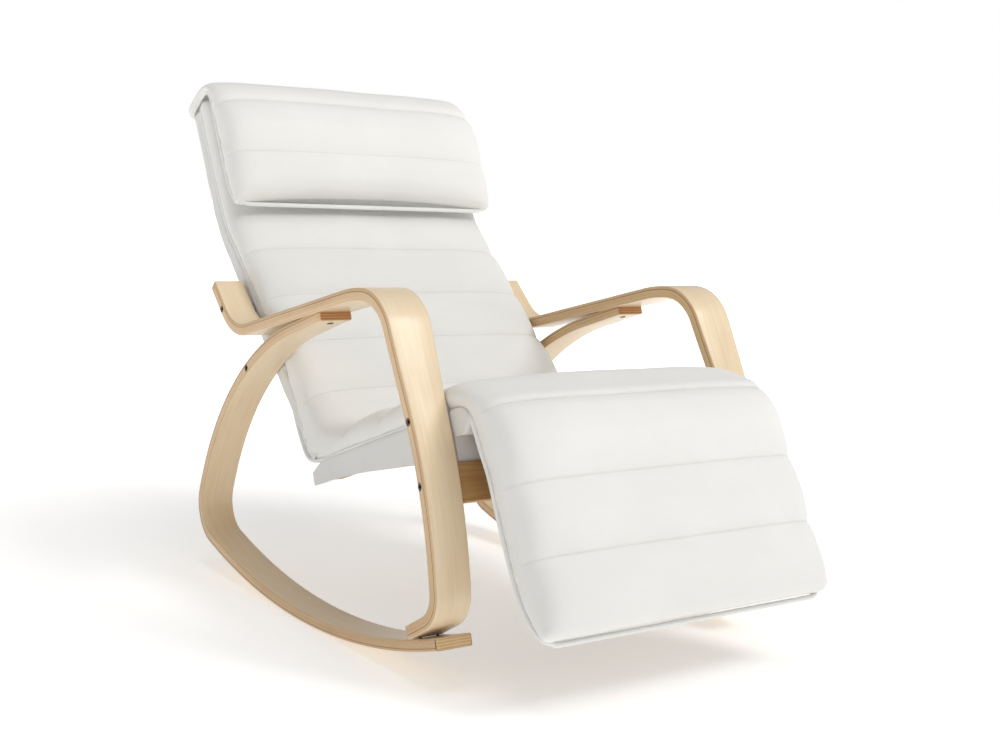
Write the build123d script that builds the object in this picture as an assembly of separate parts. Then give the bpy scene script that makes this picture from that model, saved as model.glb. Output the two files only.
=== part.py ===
from build123d import *
import os
from math import cos, hypot, radians, sin

# A bentwood rocking lounge chair with a folding footrest. Millimetres, +Z up, the sitter faces -Y.
# Outlines are drawn as (y, z) in the side view, with y = 0 at the front end of the rear leg, under the
# arm, and z = 0 at the rocker's lowest point. CENTRE_Y moves the finished pieces so that the origin is
# the middle of the chair's footprint. "right" and "left" are the sitter's.

# --- driving dimensions -----------------------------------------------------------------------------
HALF_WIDTH = 335.0          # outer edge of the arm at its widest, from the middle plane
ARM_T = 20.0                # thickness of the arm and front leg strip
ROCKER_T = 18.0             # thickness of the rocker and rear leg strip
ROCKER_OUT = 328.0          # outer edge of the rocker strip
ROCKER_IN = 268.0           # inner edge of the rocker strip
RAIL_OUT = 266.0            # outer face of the seat and back rails
RAIL_W = 22.0               # width of a rail across the chair
RAIL_IN = RAIL_OUT - RAIL_W
BACK_RAIL_D = 24.0          # depth of a back rail in the side view
SEAT_RAIL_D = 36.0          # depth of a seat rail in the side view
FOOT_RAIL_D = 24.0          # depth of a footrest rail in the side view
FOOT_RAIL_OUT = 238.5       # outer face of the footrest rails
FOOT_RAIL_IN = 216.5
CANVAS_T = 1.5
WEB_T = 2.0                 # thickness of the elastic webbing
WEB_W = 45.0                # width of one webbing strap
PAD_HALF = 262.0            # half the width of the cushions
SEAT_PAD_T = 48.0
BACK_PAD_T = 50.0
FOOT_PAD_T = 72.0
FOOT_PAD_LENGTH = 317.0
GAP = 0.4                   # clearance between cushions and what they lie on

ROCKER_RADIUS = 1191.0      # of the rocker's mid-line
BOLT_R = 3.0                # M6 shank
BOLT_HEAD_R = 5.5
BOLT_HEAD_H = 4.0
SPACER_R = 9.0
NUT_R = 5.0                 # barrel nut
SCREW_R = 2.5
SCREW_HEAD_R = 5.0
LEAF_T = 2.5                # ratchet hinge plates
LEAF_GAP = 0.5
PIVOT_R = 4.0
PIVOT_PLAY = 0.05
RATCHET_R = 15.0            # crest radius of the ratchet teeth
RATCHET_STEPS = 5
FOOT_RANGE = 60.0           # degrees that the footrest lifts from its lowest step

# --- side view mid-lines: corners (y, z) and the radius of each inner corner ---------------------------
ARM_PATH = [(383.5, 539), (306.4, 456.5), (-100, 527.4), (-181.6, 527.4),
            (-305.6, 245.5), (-320.5, 86), (-232, 42)]
ARM_RADII = [90, 300, 78, 760, 46]
ROCKER_PATH = [(-318, 46.9), (44.2, -46.7), (472.3, 112.3), (334, 411), (0, 494.9)]
ROCKER_RADII = [ROCKER_RADIUS, 62, 500]
BACK_PATH = [(130, 257.7), (477, 640), (572.6, 854.7)]
BACK_RADII = [300]
BACK_BEYOND = [(76, 198.2), (477, 640), (572.6, 854.7)]     # the back's line run on below its lower end
SEAT_REAR = (140.0, 227.5)
PIVOT = (-290.0, 350.9)     # footrest hinge axis, on the seat rail's mid-line
FOOT_END_Y = -249.0         # rear end of the arm's foot on the rocker

BOLTS = {"back": (348.0, 497.0), "rear_leg": (258.6, 399.9),
         "seat": (-257.0, 351.0), "stretcher": (-285.0, 263.0)}
CENTRE_Y = -7.892           # middle of the chair's length once it has tipped back
TIP_BACK = 4.5              # degrees that the empty chair tips back as it rests on its rockers
ROCKER_CENTRE = (-20.0, 1200.0)     # centre of the arc that the rockers' undersides follow

RIGHT, LEFT = -1, 1
SIDES = {"right": RIGHT, "left": LEFT}
parts = {}


# --- small tools --------------------------------------------------------------------------------------
def unit(a, b):
    """Direction from a to b and the distance."""
    length = hypot(b[0] - a[0], b[1] - a[1])
    return (b[0] - a[0]) / length, (b[1] - a[1]) / length, length


def along(start, direction, s, n=0.0):
    """Point s along a direction from start, and n to the left of it."""
    return start[0] + direction[0] * s - direction[1] * n, start[1] + direction[1] * s + direction[0] * n


def shifted(corners, distance):
    """The corners of the same path, moved sideways by distance. Positive is to the left."""
    moved = []
    last = len(corners) - 1
    for i, corner in enumerate(corners):
        before = unit(corners[max(i - 1, 0)], corners[max(i, 1)])
        after = unit(corners[min(i, last - 1)], corners[min(i + 1, last)])
        bisector = (before[0] + after[0], before[1] + after[1])
        size = hypot(*bisector)
        bisector = (bisector[0] / size, bisector[1] / size)
        miter = distance / (bisector[0] * after[0] + bisector[1] * after[1])
        moved.append((corner[0] - bisector[1] * miter, corner[1] + bisector[0] * miter))
    return moved


def turns_left(a, b, c):
    return (b[0] - a[0]) * (c[1] - b[1]) - (b[1] - a[1]) * (c[0] - b[0]) > 0


def side_line(corners, radii, distance):
    """One side of a bent strip: the path moved by distance, with its radii changed to match."""
    moved = shifted(corners, distance)
    fitted = []
    for i, radius in enumerate(radii):
        left = turns_left(*corners[i:i + 3])
        fitted.append(radius - distance if left else radius + distance)
    return FilletPolyline(*moved, radius=fitted), moved


def band(corners, radii, low, high):
    """Side view face between two lines parallel to a path, low and high to the left of it."""
    first, first_corners = side_line(corners, radii, low)
    second, second_corners = side_line(corners, radii, high)
    ends = [Line(first_corners[0], second_corners[0]), Line(first_corners[-1], second_corners[-1])]
    return make_face([*first.edges(), *second.edges(), *ends])


def outline(points, radius=0.0):
    """Side view face with straight sides, its corners rounded if asked."""
    face = make_face(Polyline(*points, close=True))
    return fillet(face.vertices(), radius) if radius else face


def slab(face, x_low, x_high):
    """A side view face made solid between two planes across the chair."""
    placed = Plane.YZ.offset(x_low) * face
    return extrude(placed, amount=x_high - x_low, dir=(1, 0, 0))


def rod(point, x_low, x_high, radius):
    """A round bar along X through a point of the side view."""
    plane = Plane(origin=(x_low, point[0], point[1]), x_dir=(0, 1, 0), z_dir=(1, 0, 0))
    return extrude(plane * Circle(radius), amount=x_high - x_low)


def mirrored(side, x_low, x_high):
    """The span between two distances from the middle plane, on the given side."""
    return (x_low, x_high) if side == LEFT else (-x_high, -x_low)


def join(shapes):
    """Separate solids that share one node."""
    return Compound([solid for shape in shapes for solid in shape.solids()])


# --- bent side pieces -----------------------------------------------------------------------------------
def arm_plan():
    """The arm seen from above: it widens from its upturned rear end to the front bend."""
    return [(328, 430), (HALF_WIDTH, -150), (HALF_WIDTH, -400), (261, -400), (261, -150), (277, 430)]


def leg_front():
    """The leg seen from the front: it narrows below the front bend."""
    outer = Spline((HALF_WIDTH, 600), (HALF_WIDTH, 480), (333.3, 330), (333, 0))
    inner = Spline((261, 600), (262.5, 490), (271, 350), (273.6, 230), (273.6, 0))
    return make_face([outer, inner, Line((HALF_WIDTH, 600), (261, 600)), Line((333, 0), (273.6, 0))])


def rocker_front():
    """The rocker seen from the front: the rear leg narrows a little where it meets the arm."""
    points = [(ROCKER_OUT, -20), (ROCKER_OUT, 560), (274, 560),
              (273.5, 490), (ROCKER_IN, 380), (ROCKER_IN, -20)]
    return make_face(Polyline(*points, close=True))


def both_ways(face, amount=700.0):
    return extrude(face, amount=amount, both=True)


def make_rocker(side):
    strip = slab(band(ROCKER_PATH, ROCKER_RADII, -ROCKER_T / 2, ROCKER_T / 2), *mirrored(side, 250, 340))
    shape = Plane.XZ * rocker_front()
    cutter = both_ways(shape if side == LEFT else mirror(shape, about=Plane.YZ))
    return strip & cutter


def make_arm(side):
    strip = slab(band(ARM_PATH, ARM_RADII, -ARM_T / 2, ARM_T / 2), *mirrored(side, 240, 350))
    plan = make_face(Polyline(*arm_plan(), close=True))
    front = Plane.XZ * leg_front()
    if side == RIGHT:
        plan = mirror(plan, about=Plane.YZ)
        front = mirror(front, about=Plane.YZ)
    past = FOOT_END_Y + 60
    beyond_foot = slab(outline([(FOOT_END_Y, 0), (past, 0), (past, 90), (FOOT_END_Y, 90)]),
                       *mirrored(side, 240, 350))
    return (strip & both_ways(plan) & both_ways(front)) - beyond_foot


# --- fasteners ------------------------------------------------------------------------------------------
def head_place(point):
    """How far out the inner face of a side bolt's head lies: the strips' outer edges taper."""
    if point[0] > 300:
        return 323.5
    return 322.5 if point[0] > 0 else 328.0


def side_bolt(side, point, length, socket=True):
    """Socket bolt that enters the strip's outer edge and runs across the chair."""
    head_at = head_place(point)
    head = rod(point, *mirrored(side, head_at, head_at + BOLT_HEAD_H), BOLT_HEAD_R)
    shank = rod(point, *mirrored(side, head_at - length, head_at), BOLT_R)
    bolt = head + shank
    if socket:
        x = side * (head_at + BOLT_HEAD_H)
        plane = Plane(origin=(x, point[0], point[1]), x_dir=(0, 1, 0), z_dir=(-side, 0, 0))
        bolt = bolt - extrude(plane * RegularPolygon(2.9, 6), amount=2.6)
    return bolt


def bolt_well(side, point, head_at):
    """The counterbore that the bolt's head sits in."""
    return rod(point, *mirrored(side, head_at, 345), BOLT_HEAD_R + 1.0)


def screw(base, axis, length, head_r=SCREW_HEAD_R, shank_r=SCREW_R, socket=True):
    """Countersunk screw. base is the middle of its head's top and axis points along the shank."""
    plane = Plane(origin=base, z_dir=axis)
    cone_h = head_r - shank_r
    head = extrude(plane * Circle(head_r), amount=1.0)
    cone = loft([plane.offset(1.0) * Circle(head_r), plane.offset(1.0 + cone_h) * Circle(shank_r)])
    body = head + cone + extrude(plane.offset(1.0 + cone_h - 0.01) * Circle(shank_r), amount=length)
    if socket:
        body = body - extrude(plane * RegularPolygon(1.9, 6), amount=1.6)
    return body


# --- directions used for placing ------------------------------------------------------------------------
BACK_LOW = unit(BACK_PATH[0], BACK_PATH[1])
BACK_HIGH = unit(BACK_PATH[1], BACK_PATH[2])
SEAT_DIR = unit(PIVOT, SEAT_REAR)
FOOT_DIR = (-cos(radians(66.0)), -sin(radians(66.0)))
FOOT_LINE = 13.6            # the footrest rails lie this far in front of the hinge axis
LEG_DIR = (-cos(radians(71.5)), -sin(radians(71.5)))


def on_foot(s, n):
    """Point s down the footrest from the hinge axis, n in front of it."""
    return PIVOT[0] + FOOT_DIR[0] * s + FOOT_DIR[1] * n, PIVOT[1] + FOOT_DIR[1] * s - FOOT_DIR[0] * n


def on_head(s, n):
    """Point s up the headrest from the back's bend, n in front of the rails' mid-line."""
    return along(BACK_PATH[1], BACK_HIGH, s, n)


def foot_band(s_low, s_high, n_low, n_high, radius=0.0):
    corners = [on_foot(s_low, n_low), on_foot(s_high, n_low), on_foot(s_high, n_high), on_foot(s_low, n_high)]
    return outline(corners, radius)


# --- side pieces with their fasteners -------------------------------------------------------------------
bolts = []
nuts = []
spacers = []
arm_screws = []
foot_screws = []
rail_cutters = {RIGHT: [], LEFT: []}
stretcher_cutters = []

INNER_FACE = {"back": 274.8, "rear_leg": 268.9, "seat": 271.0}
NUT_X = 252.0
nut_axis = {"back": BACK_LOW, "rear_leg": BACK_LOW, "seat": SEAT_DIR, "stretcher": LEG_DIR}
nut_half = {"back": BACK_RAIL_D / 2, "rear_leg": BACK_RAIL_D / 2, "seat": 8.0, "stretcher": 7.0}

# The foot keeps its full thickness on the rocker's top, and the rear leg is planed flat under the arm.
for name, side in SIDES.items():
    full_rocker = make_rocker(side)
    full_arm = make_arm(side)
    foot_zone = slab(outline([(-400, -50), (-100, -50), (-100, 200), (-400, 200)]), *mirrored(side, 240, 350))
    top_zone = slab(outline([(-100, 380), (240, 380), (240, 600), (-100, 600)]), *mirrored(side, 240, 350))
    arm = full_arm - (full_rocker & foot_zone)
    rocker = full_rocker - (full_arm & top_zone)
    arm = max(arm.solids(), key=lambda solid: solid.volume)
    rocker = max(rocker.solids(), key=lambda solid: solid.volume)

    for key, point in BOLTS.items():
        head_at = head_place(point)
        length = head_at - NUT_X + 5.0
        bolt = side_bolt(side, point, length)
        blank = side_bolt(side, point, length, socket=False)
        bolts.append(bolt)
        cutter = blank + bolt_well(side, point, head_at)
        if key == "rear_leg":
            rocker = rocker - cutter
        else:
            arm = arm - cutter
        axis = nut_axis[key]
        middle = (side * NUT_X, point[0], point[1])
        nut_plane = Plane(origin=middle, z_dir=(0, -axis[1], axis[0]))
        nut_blank = extrude(nut_plane * Circle(NUT_R), amount=nut_half[key] - 1.0, both=True)
        nuts.append(nut_blank - blank)
        if key == "stretcher":
            stretcher_cutters += [nut_blank, blank]
            continue
        rail_cutters[side] += [nut_blank, blank]
        tube = rod(point, *mirrored(side, RAIL_OUT, INNER_FACE[key]), SPACER_R)
        spacers.append(tube - blank - full_arm - full_rocker)

    # two screws join the rear leg to the arm from below
    arm_dir = unit(ARM_PATH[1], ARM_PATH[2])
    for y in (22.0, 52.0):
        under = 501.0 - (y * 0.1745) - 17.5
        place = (side * 300.0, y - 2.0, under)
        axis = (0, -arm_dir[1] * -1 * 0.98, 0.98)
        piece = screw(place, axis, 22.0)
        blank = screw(place, axis, 22.0, socket=False)
        well = extrude(Plane(origin=place, z_dir=axis) * Circle(SCREW_HEAD_R), amount=-14)
        arm_screws.append(piece)
        arm = arm - blank
        rocker = rocker - blank - well

    # two screws join the rocker to the arm's foot from below
    for x in (288.0, 318.0):
        y = -266.0
        slope = (y + 20.0) / 1200.0
        place = (side * x, y + 1.2 * slope, 1200.0 - (1200.0 ** 2 - (y + 20.0) ** 2) ** 0.5 + 1.2)
        axis = (0, -slope, (1 - slope ** 2) ** 0.5)
        piece = screw(place, axis, 22.0)
        blank = screw(place, axis, 22.0, socket=False)
        well = extrude(Plane(origin=place, z_dir=axis) * Circle(SCREW_HEAD_R), amount=-6)
        foot_screws.append(piece)
        rocker = rocker - blank - well
        arm = arm - blank

    parts["arm_and_leg_" + name] = arm
    parts["rocker_" + name] = rocker

# --- front stretcher ------------------------------------------------------------------------------------
STRETCHER_H = 58.0
STRETCHER_T = 16.0
EASED_EDGE = 1.5
STRETCHER_FACE_HALF = 270.0   # half the width of its flat front face
stretcher_line = [along(BOLTS["stretcher"], LEG_DIR, end * STRETCHER_H / 2) for end in (-1, 1)]
stretcher = slab(outline([(p[0], p[1]) for p in (
    along(stretcher_line[0], LEG_DIR, 0, -STRETCHER_T / 2),
    along(stretcher_line[1], LEG_DIR, 0, -STRETCHER_T / 2),
    along(stretcher_line[1], LEG_DIR, 0, STRETCHER_T / 2),
    along(stretcher_line[0], LEG_DIR, 0, STRETCHER_T / 2))], 2.0),
    -280, 280)
for side in SIDES.values():
    stretcher = stretcher - make_arm(side)
stretcher = max(stretcher.solids(), key=lambda solid: solid.volume)
for side in SIDES.values():
    # the front edges next to the legs are eased, so a flat board lies on the face without touching a leg
    eased = [along(stretcher_line[0], LEG_DIR, -10, -STRETCHER_T / 2 + EASED_EDGE),
             along(stretcher_line[1], LEG_DIR, 10, -STRETCHER_T / 2 + EASED_EDGE),
             along(stretcher_line[1], LEG_DIR, 10, -STRETCHER_T / 2 - 1),
             along(stretcher_line[0], LEG_DIR, -10, -STRETCHER_T / 2 - 1)]
    stretcher = stretcher - slab(outline(eased), *mirrored(side, STRETCHER_FACE_HALF, 290))
for cutter in stretcher_cutters:
    stretcher = stretcher - cutter
parts["front_stretcher"] = stretcher

# --- back frame -----------------------------------------------------------------------------------------
CROSS_T = 18.0
frame_screws = []


def cross_rail(point, direction, depth, thickness, x_half):
    """A rail across the chair, its section centred on a point and lying along a direction."""
    signs = ((-1, -1), (1, -1), (1, 1), (-1, 1))
    corners = [along(point, direction, a * depth / 2, b * thickness / 2) for a, b in signs]
    return slab(outline(corners, 1.5), -x_half, x_half)


back_top = along(BACK_PATH[2], BACK_HIGH, -24)
back_middle = along(BACK_PATH[0], BACK_LOW, 300)
back_bottom = along(BACK_PATH[0], BACK_LOW, 62)
parts["back_top_rail"] = cross_rail(back_top, BACK_HIGH, 44, CROSS_T, RAIL_IN)
parts["back_middle_rail"] = cross_rail(back_middle, BACK_LOW, 44, CROSS_T, RAIL_IN)
parts["back_bottom_rail"] = cross_rail(back_bottom, BACK_LOW, 44, CROSS_T, RAIL_IN)

# --- seat frame -----------------------------------------------------------------------------------------
SEAT_LEN = SEAT_DIR[2]
seat_front = along(PIVOT, SEAT_DIR, 112, 4)
seat_rear = along(PIVOT, SEAT_DIR, SEAT_LEN - 92, 4)
parts["seat_front_rail"] = cross_rail(seat_front, SEAT_DIR, 40, CROSS_T, RAIL_IN)
parts["seat_rear_rail"] = cross_rail(seat_rear, SEAT_DIR, 40, CROSS_T, RAIL_IN)

joint_directions = {back_top: BACK_HIGH, back_middle: BACK_LOW, back_bottom: BACK_LOW,
                    seat_front: SEAT_DIR, seat_rear: SEAT_DIR}
cross_rails = ("back_top_rail", "back_middle_rail", "back_bottom_rail", "seat_front_rail", "seat_rear_rail")
back_zone = slab(band(BACK_BEYOND, BACK_RADII, -90, BACK_RAIL_D / 2), -300, 300)
for name, side in SIDES.items():
    span = mirrored(side, RAIL_IN, RAIL_OUT)
    back_rail = slab(band(BACK_PATH, BACK_RADII, -BACK_RAIL_D / 2, BACK_RAIL_D / 2), *span)
    half = SEAT_RAIL_D / 2
    bar = outline([along(PIVOT, SEAT_DIR, 0, -half), along(PIVOT, SEAT_DIR, SEAT_LEN + 20, -half),
                   along(PIVOT, SEAT_DIR, SEAT_LEN + 20, half), along(PIVOT, SEAT_DIR, 0, half)])
    seat_rail = slab(bar, *span) + rod(PIVOT, *span, half)
    seat_rail = max((seat_rail - back_zone).solids(), key=lambda solid: solid.volume)
    for cutter in rail_cutters[side]:
        back_rail = back_rail - cutter
        seat_rail = seat_rail - cutter
    for joint in joint_directions:
        for shift in (-10.0, 10.0):
            direction = joint_directions[joint]
            spot = along(joint, direction, shift)
            place = (side * RAIL_OUT, spot[0], spot[1])
            axis = (-side, 0, 0)
            blank = screw(place, axis, 50.0, socket=False)
            frame_screws.append(screw(place, axis, 50.0))
            back_rail = back_rail - blank
            seat_rail = seat_rail - blank
            for node in cross_rails:
                parts[node] = parts[node] - blank
    parts["back_rail_" + name] = back_rail
    parts["seat_rail_" + name] = seat_rail

# steel angle plates join the seat rails to the back rails, on their inner faces
CORNER_T = 2.5
corner_point = along(PIVOT, SEAT_DIR, SEAT_LEN - 14)
for name, side in SIDES.items():
    arm_a = [along(corner_point, SEAT_DIR, -52, -9), along(corner_point, SEAT_DIR, 8, -9),
             along(corner_point, SEAT_DIR, 8, 9), along(corner_point, SEAT_DIR, -52, 9)]
    low = along(BACK_PATH[0], BACK_LOW, 4)
    arm_b = [along(low, BACK_LOW, -30, -9), along(low, BACK_LOW, 20, -9),
             along(low, BACK_LOW, 20, 9), along(low, BACK_LOW, -30, 9)]
    span = mirrored(side, RAIL_IN - CORNER_T, RAIL_IN)
    plate = slab(outline(arm_a), *span) + slab(outline(arm_b), *span)
    for node in ("back_bottom_rail", "seat_rear_rail"):
        parts[node] = parts[node] - plate
    parts["corner_plate_" + name] = plate

# --- webbing and canvas ---------------------------------------------------------------------------------
SKIRT = 34.0                # how far the canvas reaches down a rail's side


def seat_band(s_low, s_high, n_low, n_high):
    """Side view face in the seat's own directions: s to the rear from the hinge axis, n upwards."""
    return outline([along(PIVOT, SEAT_DIR, s_low, n_low), along(PIVOT, SEAT_DIR, s_high, n_low),
                    along(PIVOT, SEAT_DIR, s_high, n_high), along(PIVOT, SEAT_DIR, s_low, n_high)])


def spread(first, last, count):
    """Evenly spaced values from first to last."""
    return [first + (last - first) * i / (count - 1) for i in range(count)]


seat_top = SEAT_RAIL_D / 2
back_top_n = BACK_RAIL_D / 2
parts["seat_webbing"] = join(
    slab(seat_band(s, s + WEB_W, seat_top - WEB_T, seat_top), -RAIL_IN, RAIL_IN) for s in spread(60, 345, 5))

straps = []
for s in spread(90, 430, 5):
    low, high = back_top_n - WEB_T, back_top_n
    places = ((s, low), (s + WEB_W, low), (s + WEB_W, high), (s, high))
    corners = [along(BACK_PATH[0], BACK_LOW, a, n) for a, n in places]
    straps.append(slab(outline(corners), -RAIL_IN, RAIL_IN))
for s in (60.0, 125.0):
    corners = [on_head(s, back_top_n - WEB_T), on_head(s + WEB_W, back_top_n - WEB_T),
               on_head(s + WEB_W, back_top_n), on_head(s, back_top_n)]
    straps.append(slab(outline(corners), -RAIL_IN, RAIL_IN))
parts["back_webbing"] = join(straps)

cloth = RAIL_OUT + CANVAS_T
seat_canvas = slab(seat_band(20, SEAT_LEN - 26, seat_top, seat_top + CANVAS_T), -cloth, cloth)
back_canvas = slab(band(BACK_PATH, BACK_RADII, back_top_n, back_top_n + CANVAS_T), -cloth, cloth)
for side in SIDES.values():
    span = mirrored(side, RAIL_OUT, cloth)
    seat_canvas = seat_canvas + slab(seat_band(20, SEAT_LEN - 26, seat_top - SKIRT, seat_top), *span)
    back_canvas = back_canvas + slab(band(BACK_PATH, BACK_RADII, -back_top_n, back_top_n), *span)
lower_back = slab(seat_band(-40, SEAT_LEN + 80, -80, seat_top + CANVAS_T + 0.2), -300, 300)
behind_seat = slab(band(BACK_BEYOND, BACK_RADII, -90, back_top_n + CANVAS_T + 0.2), -300, 300)
back_canvas = back_canvas - lower_back
seat_canvas = seat_canvas - behind_seat
hardware = [rod(point, -300, 300, SPACER_R + 0.3) for key, point in BOLTS.items() if key != "stretcher"]
for cutter in hardware:
    back_canvas = back_canvas - cutter
    seat_canvas = seat_canvas - cutter
parts["seat_canvas"] = max(seat_canvas.solids(), key=lambda solid: solid.volume)
parts["back_canvas"] = max(back_canvas.solids(), key=lambda solid: solid.volume)

# --- footrest -------------------------------------------------------------------------------------------
foot_back = FOOT_LINE - FOOT_RAIL_D / 2
foot_front = FOOT_LINE + FOOT_RAIL_D / 2
FOOT_RAIL_START = 14.0
FOOT_RAIL_END = 292.0
foot_rails = {}
for name, side in SIDES.items():
    span = mirrored(side, FOOT_RAIL_IN, FOOT_RAIL_OUT)
    foot_rails[side] = slab(foot_band(FOOT_RAIL_START, FOOT_RAIL_END, foot_back, foot_front, 4.0), *span)


def foot_cross(s):
    section = foot_band(s, s + 40, FOOT_LINE - CROSS_T / 2, FOOT_LINE + CROSS_T / 2, 1.5)
    return slab(section, -FOOT_RAIL_IN, FOOT_RAIL_IN)


parts["footrest_top_rail"] = foot_cross(34)
parts["footrest_end_rail"] = foot_cross(FOOT_RAIL_END - 46)
parts["footrest_webbing"] = join(
    slab(foot_band(s, s + WEB_W, foot_front - WEB_T, foot_front), -FOOT_RAIL_IN, FOOT_RAIL_IN)
    for s in spread(86, 192, 3))

foot_screws_in_frame = []
for name, side in SIDES.items():
    for s in (44, 64, FOOT_RAIL_END - 36, FOOT_RAIL_END - 16):
        spot = on_foot(s, FOOT_LINE)
        place = (side * FOOT_RAIL_OUT, spot[0], spot[1])
        piece = screw(place, (-side, 0, 0), 45.0)
        blank = screw(place, (-side, 0, 0), 45.0, socket=False)
        foot_screws_in_frame.append(piece)
        foot_rails[side] = foot_rails[side] - blank
        for node in ("footrest_top_rail", "footrest_end_rail"):
            parts[node] = parts[node] - blank

foot_cloth = FOOT_RAIL_OUT + CANVAS_T
canvas = slab(foot_band(76, FOOT_RAIL_END, foot_front, foot_front + CANVAS_T), -foot_cloth, foot_cloth)
for side in SIDES.values():
    skirt_face = foot_band(116, FOOT_RAIL_END, foot_back, foot_front)
    canvas = canvas + slab(skirt_face, *mirrored(side, FOOT_RAIL_OUT, foot_cloth))
parts["footrest_canvas"] = canvas

# --- ratchet hinges -------------------------------------------------------------------------------------
TOOTH_R = 2.4
FIRST_TOOTH = 190.0         # degrees round the pivot, in the side view
CAP_R = 7.0                 # head of the pivot
CAP_REACH = 3.5             # from the footrest plate's inner face to the head's end
CAP_GAP = 0.3
LEAF_SCREW = (12.0, 4.0, 2.0)       # length, head radius and shank radius
leaf_out = RAIL_IN                  # the seat plate lies on the seat rail's inner face
seat_leaf_in = leaf_out - LEAF_T
foot_leaf_out = seat_leaf_in - LEAF_GAP
foot_leaf_in = FOOT_RAIL_OUT
pivots = []
leaf_screws = []
foot_leaf_screws = []
for name, side in SIDES.items():
    span = mirrored(side, seat_leaf_in, leaf_out)
    seat_leaf = slab(seat_band(0, 80, -14, 5), *span) + rod(PIVOT, *span, RATCHET_R)
    for i in range(RATCHET_STEPS):
        angle = radians(FIRST_TOOTH + i * FOOT_RANGE / (RATCHET_STEPS - 1))
        tooth_at = (PIVOT[0] + RATCHET_R * cos(angle), PIVOT[1] + RATCHET_R * sin(angle))
        seat_leaf = seat_leaf - rod(tooth_at, *span, TOOTH_R)
    pivot_span = mirrored(side, foot_leaf_in - CAP_REACH, leaf_out)
    shaft = rod(PIVOT, *pivot_span, PIVOT_R)
    cap = rod(PIVOT, *mirrored(side, foot_leaf_in - CAP_REACH, foot_leaf_in - CAP_GAP), CAP_R)
    pivots.append(shaft + cap)
    seat_leaf = seat_leaf - shaft
    span = mirrored(side, foot_leaf_in, foot_leaf_out)
    foot_leaf = slab(foot_band(0, 112, foot_back + 3, foot_front - 4), *span) + rod(PIVOT, *span, 12.0)
    foot_leaf = foot_leaf + slab(foot_band(0, 26, -8, foot_front - 4), *span)
    foot_leaf = foot_leaf - rod(PIVOT, *span, PIVOT_R + PIVOT_PLAY)
    for s in (84.0, 102.0):
        spot = on_foot(s, FOOT_LINE)
        place = (side * foot_leaf_out, spot[0], spot[1])
        foot_leaf_screws.append(screw(place, (-side, 0, 0), *LEAF_SCREW))
        blank = screw(place, (-side, 0, 0), *LEAF_SCREW, socket=False)
        foot_leaf = foot_leaf - blank
        foot_rails[side] = foot_rails[side] - blank
    for s in (50.0, 70.0):
        spot = along(PIVOT, SEAT_DIR, s, -5)
        place = (side * seat_leaf_in, spot[0], spot[1])
        leaf_screws.append(screw(place, (side, 0, 0), *LEAF_SCREW))
        blank = screw(place, (side, 0, 0), *LEAF_SCREW, socket=False)
        seat_leaf = seat_leaf - blank
        parts["seat_rail_" + name] = parts["seat_rail_" + name] - blank
    parts["ratchet_plate_" + name] = seat_leaf
    parts["footrest_plate_" + name] = foot_leaf
    parts["footrest_rail_" + name] = foot_rails[side]

parts["footrest_pivots"] = join(pivots)
parts["ratchet_plate_screws"] = join(leaf_screws)
parts["footrest_plate_screws"] = join(foot_leaf_screws)
parts["footrest_frame_screws"] = join(foot_screws_in_frame)

# --- cushions -------------------------------------------------------------------------------------------
seat_low = seat_top + CANVAS_T + GAP
back_low = back_top_n + CANVAS_T + GAP
foot_low = foot_front + CANVAS_T + GAP
behind = slab(band(BACK_BEYOND, BACK_RADII, -90, back_low), -300, 300)
seat_pad = slab(seat_band(4, SEAT_LEN + 40, seat_low, seat_low + SEAT_PAD_T), -PAD_HALF, PAD_HALF) - behind
parts["seat_pad"] = max(seat_pad.solids(), key=lambda solid: solid.volume)

under_back = slab(seat_band(-60, SEAT_LEN + 90, -60, seat_low + SEAT_PAD_T + GAP), -300, 300)
PAD_PATH = [BACK_PATH[0], BACK_PATH[1], on_head(248, 0)]
back_pad = slab(band(PAD_PATH, BACK_RADII, back_low, back_low + BACK_PAD_T), -PAD_HALF, PAD_HALF) - under_back
parts["back_pad"] = max(back_pad.solids(), key=lambda solid: solid.volume)

flap_low = back_low + BACK_PAD_T + GAP
FLAP = [(12, flap_low), (26, 122), (130, 134), (228, 113), (269, 52), (270, -16), (249, -16), (249, flap_low)]
flap_face = outline([on_head(s, n) for s, n in FLAP])
in_pad = slab(band(PAD_PATH, BACK_RADII, back_low, flap_low), -300, 300)
headrest_flap = slab(flap_face, -PAD_HALF, PAD_HALF) - in_pad
parts["headrest_flap"] = max(headrest_flap.solids(), key=lambda solid: solid.volume)

foot_pad = slab(foot_band(6, FOOT_PAD_LENGTH, foot_low, foot_low + FOOT_PAD_T, 12.0), -PAD_HALF, PAD_HALF)
parts["footrest_pad"] = foot_pad

parts["side_bolts"] = join(bolts)
parts["barrel_nuts"] = join(nuts)
parts["bolt_spacers"] = join(spacers)
parts["arm_screws"] = join(arm_screws)
parts["foot_screws"] = join(foot_screws)
parts["frame_screws"] = join(frame_screws)

# --- write ----------------------------------------------------------------------------------------------
os.makedirs("parts", exist_ok=True)
rocking_axis = Axis((0, *ROCKER_CENTRE), (1, 0, 0))
placed = {}
for node, shape in parts.items():
    placed[node] = shape.rotate(rocking_axis, -TIP_BACK).moved(Location((0, -CENTRE_Y, 0)))
    export_step(placed[node], "parts/" + node + ".step")
front = min(shape.bounding_box().min.Y for shape in placed.values())
rear = max(shape.bounding_box().max.Y for shape in placed.values())
print(len(parts), "nodes written; middle of the length at", round((front + rear) / 2, 3))
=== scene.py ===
# %% [markdown]
# # A bentwood rocking lounge chair
# The chair has two side frames of glued birch strips, a seat and back frame slung between them,
# a footrest on ratchet hinges, and one long quilted cushion with a folded pillow at the head.
# The measured CAD model is loaded first. It is the ruler for everything that follows.

# %% Load the measured model
from math import cos, hypot, pi, radians, sin

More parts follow.
